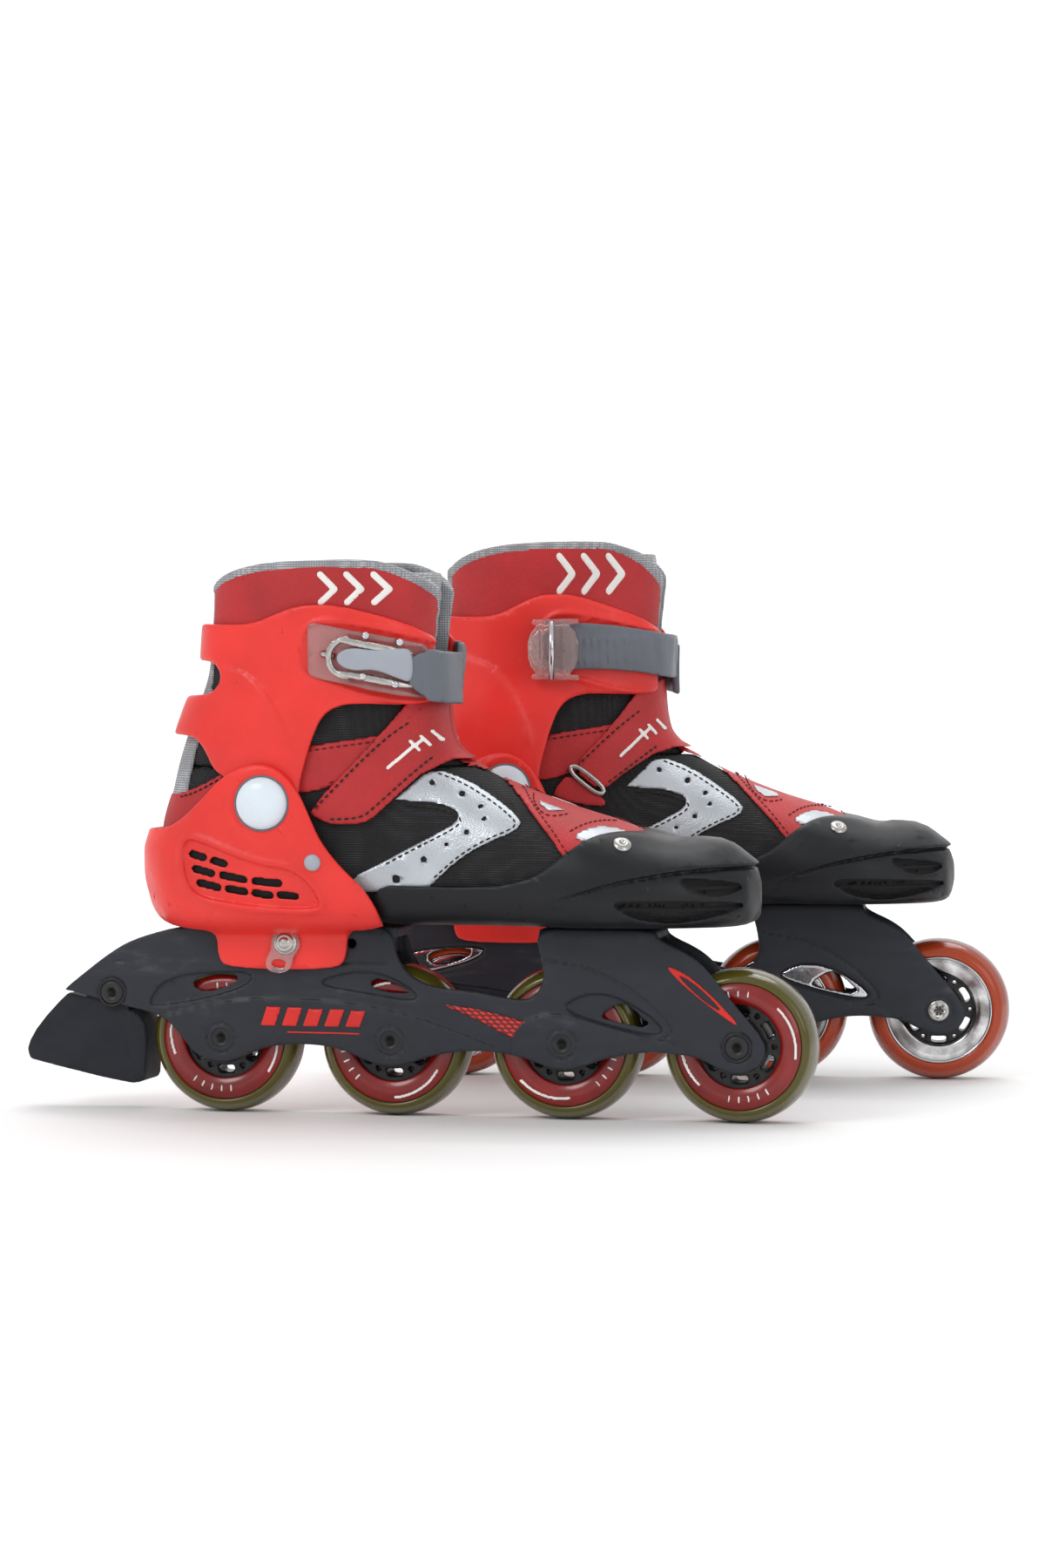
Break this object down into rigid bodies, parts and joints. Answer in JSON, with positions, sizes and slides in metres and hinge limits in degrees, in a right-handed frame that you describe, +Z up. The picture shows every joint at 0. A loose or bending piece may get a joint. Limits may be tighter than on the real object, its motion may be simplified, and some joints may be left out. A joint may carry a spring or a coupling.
{
  "type": "pair of inline skates",
  "caption": "Pair of adjustable soft-boot inline skates with four wheels each, hinged cuffs, ratchet buckles and a heel brake on the right one.",
  "frame": {"origin": "on the floor, under the middle of the pair's bounding box", "axes": "+X the way the right skate points, +Y to its left, towards the left skate, +Z up"},
  "size_m": [0.4316, 0.3082, 0.265],
  "materials": {
    "frame_plastic": "satin, lightly textured",
    "black_plastic": "satin",
    "red_plastic": "satin gloss",
    "upper_leatherette": "matte, fine grain",
    "mesh_fabric": "woven mesh",
    "binding_fabric": "soft weave",
    "silver_vinyl": "pearly, fine grain",
    "white_print": "printed",
    "red_print": "printed",
    "pearl_plastic": "pearly gloss",
    "clear_plastic": "polished",
    "grey_plastic": "satin",
    "bright_steel": "polished",
    "black_steel": "black oxide, satin",
    "urethane": "translucent gloss",
    "hub_plastic": "moulded",
    "brake_rubber": "matte",
    "lining_fabric": "brushed"
  },
  "bodies": {
    "root": {"right_frame": "frame_plastic", "right_toe_shell": "black_plastic", "right_axle_1": "black_steel", "right_axle_2": "black_steel", "right_axle_3": "black_steel", "right_axle_4": "black_steel", "right_brake_pad": "brake_rubber", "right_brake_bolt": "black_steel", "left_frame": "frame_plastic", "left_toe_shell": "black_plastic", "left_axle_1": "black_steel", "left_axle_2": "black_steel", "left_axle_3": "black_steel", "left_axle_4": "black_steel"},
    "right_heel": {"right_heel_shell": "red_plastic", "right_soft_boot": "upper_leatherette", "right_ankle_rivet_outer": "pearl_plastic", "right_ankle_rivet_inner": "pearl_plastic", "right_instep_strap": "upper_leatherette"},
    "right_cuff_unit": {"right_cuff": "red_plastic", "right_buckle_base": "clear_plastic", "right_ladder_strap": "grey_plastic"},
    "right_lever": {"right_buckle_lever": "clear_plastic"},
    "right_clamp": {"right_strap_clamp": "clear_plastic"},
    "right_lock": {"right_size_lock": "bright_steel"},
    "right_wheel_1": {"right_wheel_1_tyre": "urethane", "right_wheel_1_hub": "hub_plastic", "right_wheel_1_bearings": "bright_steel"},
    "right_wheel_2": {"right_wheel_2_tyre": "urethane", "right_wheel_2_hub": "hub_plastic", "right_wheel_2_bearings": "bright_steel"},
    "right_wheel_3": {"right_wheel_3_tyre": "urethane", "right_wheel_3_hub": "hub_plastic", "right_wheel_3_bearings": "bright_steel"},
    "right_wheel_4": {"right_wheel_4_tyre": "urethane", "right_wheel_4_hub": "hub_plastic", "right_wheel_4_bearings": "bright_steel"},
    "left_heel": {"left_heel_shell": "red_plastic", "left_soft_boot": "upper_leatherette", "left_ankle_rivet_outer": "pearl_plastic", "left_ankle_rivet_inner": "pearl_plastic", "left_instep_strap": "upper_leatherette"},
    "left_cuff_unit": {"left_cuff": "red_plastic", "left_buckle_base": "clear_plastic", "left_ladder_strap": "grey_plastic"},
    "left_lever": {"left_buckle_lever": "clear_plastic"},
    "left_clamp": {"left_strap_clamp": "clear_plastic"},
    "left_lock": {"left_size_lock": "bright_steel"},
    "left_wheel_1": {"left_wheel_1_tyre": "urethane", "left_wheel_1_hub": "hub_plastic", "left_wheel_1_bearings": "bright_steel"},
    "left_wheel_2": {"left_wheel_2_tyre": "urethane", "left_wheel_2_hub": "hub_plastic", "left_wheel_2_bearings": "bright_steel"},
    "left_wheel_3": {"left_wheel_3_tyre": "urethane", "left_wheel_3_hub": "hub_plastic", "left_wheel_3_bearings": "bright_steel"},
    "left_wheel_4": {"left_wheel_4_tyre": "urethane", "left_wheel_4_hub": "hub_plastic", "left_wheel_4_bearings": "bright_steel"}
  },
  "joints": [
    {"name": "right_size_slide", "type": "slide", "parent": "root", "child": "right_heel", "axis": [1, 0, 0], "range_m": [0, 0.02], "deforming": ["right_soft_boot"]},
    {"name": "right_cuff_tilt", "type": "hinge", "parent": "right_heel", "child": "right_cuff_unit", "pos_m": [-0.09284, -0.1032, 0.144], "axis": [0, 1, 0], "range_deg": [-8, 14], "stiffness_Nm_per_rad": 3, "deforming": ["right_soft_boot"]},
    {"name": "right_buckle_open", "type": "hinge", "parent": "right_cuff_unit", "child": "right_lever", "pos_m": [-0.02844, -0.1394, 0.2075], "axis": [0, 0, 1], "range_deg": [0, 90]},
    {"name": "right_clamp_open", "type": "hinge", "parent": "right_cuff_unit", "child": "right_clamp", "pos_m": [-0.08114, -0.0556, 0.209], "axis": [0, 0, 1], "range_deg": [0, 80]},
    {"name": "right_lock_pull", "type": "slide", "parent": "right_heel", "child": "right_lock", "axis": [0, -1, 0], "range_m": [0, 0.004], "stiffness_N_per_m": 300, "springref_m": -0.002},
    {"name": "right_wheel_1_spin", "type": "hinge", "parent": "root", "child": "right_wheel_1", "pos_m": [-0.12084, -0.1032, 0.035], "axis": [0, 1, 0], "continuous": true},
    {"name": "right_wheel_2_spin", "type": "hinge", "parent": "root", "child": "right_wheel_2", "pos_m": [-0.04084, -0.1032, 0.035], "axis": [0, 1, 0], "continuous": true},
    {"name": "right_wheel_3_spin", "type": "hinge", "parent": "root", "child": "right_wheel_3", "pos_m": [0.03916, -0.1032, 0.035], "axis": [0, 1, 0], "continuous": true},
    {"name": "right_wheel_4_spin", "type": "hinge", "parent": "root", "child": "right_wheel_4", "pos_m": [0.11916, -0.1032, 0.035], "axis": [0, 1, 0], "continuous": true},
    {"name": "left_size_slide", "type": "slide", "parent": "root", "child": "left_heel", "axis": [0.9928, 0.1201, 0], "range_m": [0, 0.02], "deforming": ["left_soft_boot"]},
    {"name": "left_cuff_tilt", "type": "hinge", "parent": "left_heel", "child": "left_cuff_unit", "pos_m": [-0.02967, 0.09204, 0.144], "axis": [-0.1201, 0.9928, 0], "range_deg": [-8, 14], "stiffness_Nm_per_rad": 3, "deforming": ["left_soft_boot"]},
    {"name": "left_buckle_open", "type": "hinge", "parent": "left_cuff_unit", "child": "left_lever", "pos_m": [0.02991, 0.13572, 0.21131], "axis": [0, 0, -1], "range_deg": [0, 90]},
    {"name": "left_clamp_open", "type": "hinge", "parent": "left_cuff_unit", "child": "left_clamp", "pos_m": [-0.01234, 0.04619, 0.2129], "axis": [0, 0, -1], "range_deg": [0, 80]},
    {"name": "left_lock_pull", "type": "slide", "parent": "left_heel", "child": "left_lock", "axis": [-0.1201, 0.9928, 0], "range_m": [0, 0.004], "stiffness_N_per_m": 300, "springref_m": -0.002},
    {"name": "left_wheel_1_spin", "type": "hinge", "parent": "root", "child": "left_wheel_1", "pos_m": [-0.05747, 0.08868, 0.035], "axis": [-0.1201, 0.9928, 0], "continuous": true},
    {"name": "left_wheel_2_spin", "type": "hinge", "parent": "root", "child": "left_wheel_2", "pos_m": [0.02195, 0.09829, 0.035], "axis": [-0.1201, 0.9928, 0], "continuous": true},
    {"name": "left_wheel_3_spin", "type": "hinge", "parent": "root", "child": "left_wheel_3", "pos_m": [0.10137, 0.1079, 0.035], "axis": [-0.1201, 0.9928, 0], "continuous": true},
    {"name": "left_wheel_4_spin", "type": "hinge", "parent": "root", "child": "left_wheel_4", "pos_m": [0.18079, 0.11751, 0.035], "axis": [-0.1201, 0.9928, 0], "continuous": true}
  ]
}
